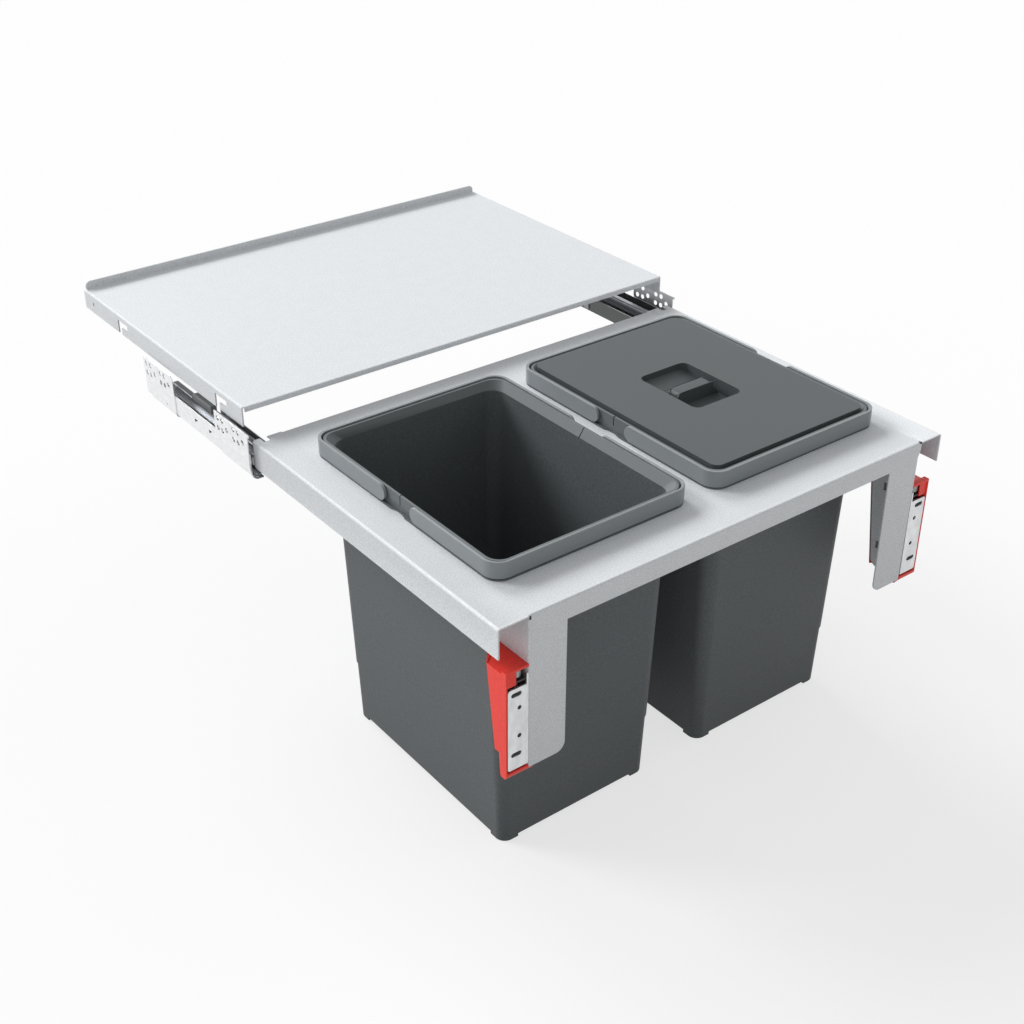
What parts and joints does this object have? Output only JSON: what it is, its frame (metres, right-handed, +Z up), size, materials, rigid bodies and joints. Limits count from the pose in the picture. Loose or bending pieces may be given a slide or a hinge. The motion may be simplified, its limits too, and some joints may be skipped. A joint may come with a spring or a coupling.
{
  "type": "pull out bin frame",
  "caption": "Pull-out waste sorting frame on ball-bearing runners, with lift-out bins, swing handles, a lid, adjustable door brackets and a cover shelf.",
  "frame": {"origin": "the cabinet's front plane on its centre line, level with the top face of the frame", "axes": "+X to the right seen from the front, +Y into the cabinet, +Z up; at rest the frame is pulled fully out"},
  "size_m": [0.562, 0.785, 0.3565],
  "materials": {
    "coated_steel": "fine-textured powder coat",
    "zinc": "zinc plated",
    "runner_steel": "rolled and greased",
    "ball_steel": "polished",
    "bin_grey": "fine moulded texture",
    "lid_grey": "satin",
    "red_plastic": "satin",
    "white_plastic": "matt",
    "dark_plastic": "matt"
  },
  "bodies": {
    "cabinet": {"shelf": "coated_steel", "left_cabinet_rail": "zinc", "left_front_bracket": "zinc", "left_rear_bracket": "zinc", "left_rail_clip": "white_plastic", "right_cabinet_rail": "zinc", "right_front_bracket": "zinc", "right_rear_bracket": "zinc", "right_rail_clip": "white_plastic"},
    "carriage": {"bin_frame": "coated_steel", "left_drawer_rail": "runner_steel", "left_adjuster_cover": "red_plastic", "right_drawer_rail": "runner_steel", "right_adjuster_cover": "red_plastic"},
    "left_middle": {"left_middle_rail": "runner_steel", "left_stop_clip": "dark_plastic"},
    "left_lower_ball_cage": {"left_lower_cage": "dark_plastic", "left_lower_balls": "ball_steel"},
    "left_upper_ball_cage": {"left_upper_cage": "dark_plastic", "left_upper_balls": "ball_steel"},
    "left_door_bracket": {"left_door_plate": "zinc", "left_guide_pins": "zinc"},
    "left_wheel": {"left_adjusting_wheel": "zinc"},
    "left_waste_bin": {"left_bin": "bin_grey"},
    "left_front_bail": {"left_front_handle": "lid_grey"},
    "left_rear_bail": {"left_rear_handle": "lid_grey"},
    "right_middle": {"right_middle_rail": "runner_steel", "right_stop_clip": "dark_plastic"},
    "right_lower_ball_cage": {"right_lower_cage": "dark_plastic", "right_lower_balls": "ball_steel"},
    "right_upper_ball_cage": {"right_upper_cage": "dark_plastic", "right_upper_balls": "ball_steel"},
    "right_door_bracket": {"right_door_plate": "zinc", "right_guide_pins": "zinc"},
    "right_wheel": {"right_adjusting_wheel": "zinc"},
    "right_waste_bin": {"right_bin": "bin_grey"},
    "right_front_bail": {"right_front_handle": "lid_grey"},
    "right_rear_bail": {"right_rear_handle": "lid_grey"},
    "lid": {"right_bin_lid": "lid_grey"}
  },
  "joints": [
    {"name": "frame_slide", "type": "slide", "parent": "cabinet", "child": "carriage", "axis": [0, -1, 0], "range_m": [-0.381, 0]},
    {"name": "left_middle_slide", "type": "slide", "parent": "cabinet", "child": "left_middle", "axis": [0, -1, 0], "range_m": [-0.1905, 0]},
    {"name": "left_lower_ball_cage_slide", "type": "slide", "parent": "cabinet", "child": "left_lower_ball_cage", "axis": [0, -1, 0], "range_m": [-0.09525, 0]},
    {"name": "left_upper_ball_cage_slide", "type": "slide", "parent": "cabinet", "child": "left_upper_ball_cage", "axis": [0, -1, 0], "range_m": [-0.28575, 0]},
    {"name": "left_height_wheel_turn", "type": "hinge", "parent": "carriage", "child": "left_wheel", "pos_m": [-0.251, -0.3735, -0.055], "axis": [0, 0, 1], "range_deg": [-800, 800]},
    {"name": "left_door_bracket_slide", "type": "slide", "parent": "carriage", "child": "left_door_bracket", "axis": [0, 0, 1], "range_m": [-0.002, 0.002]},
    {"name": "left_bin_lift", "type": "slide", "parent": "carriage", "child": "left_waste_bin", "axis": [0, 0, 1], "range_m": [0, 0.34]},
    {"name": "left_front_handle_swing", "type": "hinge", "parent": "left_waste_bin", "child": "left_front_bail", "pos_m": [-0.1263, -0.21075, 0.01055], "axis": [-1, 0, 0], "range_deg": [0, 90]},
    {"name": "left_rear_handle_swing", "type": "hinge", "parent": "left_waste_bin", "child": "left_rear_bail", "pos_m": [-0.1263, -0.15405, 0.01055], "axis": [1, 0, 0], "range_deg": [0, 90]},
    {"name": "right_middle_slide", "type": "slide", "parent": "cabinet", "child": "right_middle", "axis": [0, -1, 0], "range_m": [-0.1905, 0]},
    {"name": "right_lower_ball_cage_slide", "type": "slide", "parent": "cabinet", "child": "right_lower_ball_cage", "axis": [0, -1, 0], "range_m": [-0.09525, 0]},
    {"name": "right_upper_ball_cage_slide", "type": "slide", "parent": "cabinet", "child": "right_upper_ball_cage", "axis": [0, -1, 0], "range_m": [-0.28575, 0]},
    {"name": "right_height_wheel_turn", "type": "hinge", "parent": "carriage", "child": "right_wheel", "pos_m": [0.251, -0.3735, -0.055], "axis": [0, 0, 1], "range_deg": [-800, 800]},
    {"name": "right_door_bracket_slide", "type": "slide", "parent": "carriage", "child": "right_door_bracket", "axis": [0, 0, 1], "range_m": [-0.002, 0.002]},
    {"name": "right_bin_lift", "type": "slide", "parent": "carriage", "child": "right_waste_bin", "axis": [0, 0, 1], "range_m": [0, 0.34]},
    {"name": "right_front_handle_swing", "type": "hinge", "parent": "right_waste_bin", "child": "right_front_bail", "pos_m": [0.1263, -0.21075, 0.01055], "axis": [-1, 0, 0], "range_deg": [0, 90]},
    {"name": "right_rear_handle_swing", "type": "hinge", "parent": "right_waste_bin", "child": "right_rear_bail", "pos_m": [0.1263, -0.15405, 0.01055], "axis": [1, 0, 0], "range_deg": [0, 90]},
    {"name": "lid_lift", "type": "slide", "parent": "right_waste_bin", "child": "lid", "axis": [0, 0, 1], "range_m": [0, 0.06]}
  ],
  "couplings": [
    {"joint": "left_middle_slide", "follows": "frame_slide", "ratio": 0.5},
    {"joint": "left_lower_ball_cage_slide", "follows": "frame_slide", "ratio": 0.25},
    {"joint": "left_upper_ball_cage_slide", "follows": "frame_slide", "ratio": 0.75},
    {"joint": "left_height_wheel_turn", "follows": "left_door_bracket_slide", "rad_per_m": 6283.2},
    {"joint": "right_middle_slide", "follows": "frame_slide", "ratio": 0.5},
    {"joint": "right_lower_ball_cage_slide", "follows": "frame_slide", "ratio": 0.25},
    {"joint": "right_upper_ball_cage_slide", "follows": "frame_slide", "ratio": 0.75},
    {"joint": "right_height_wheel_turn", "follows": "right_door_bracket_slide", "rad_per_m": 6283.2}
  ]
}
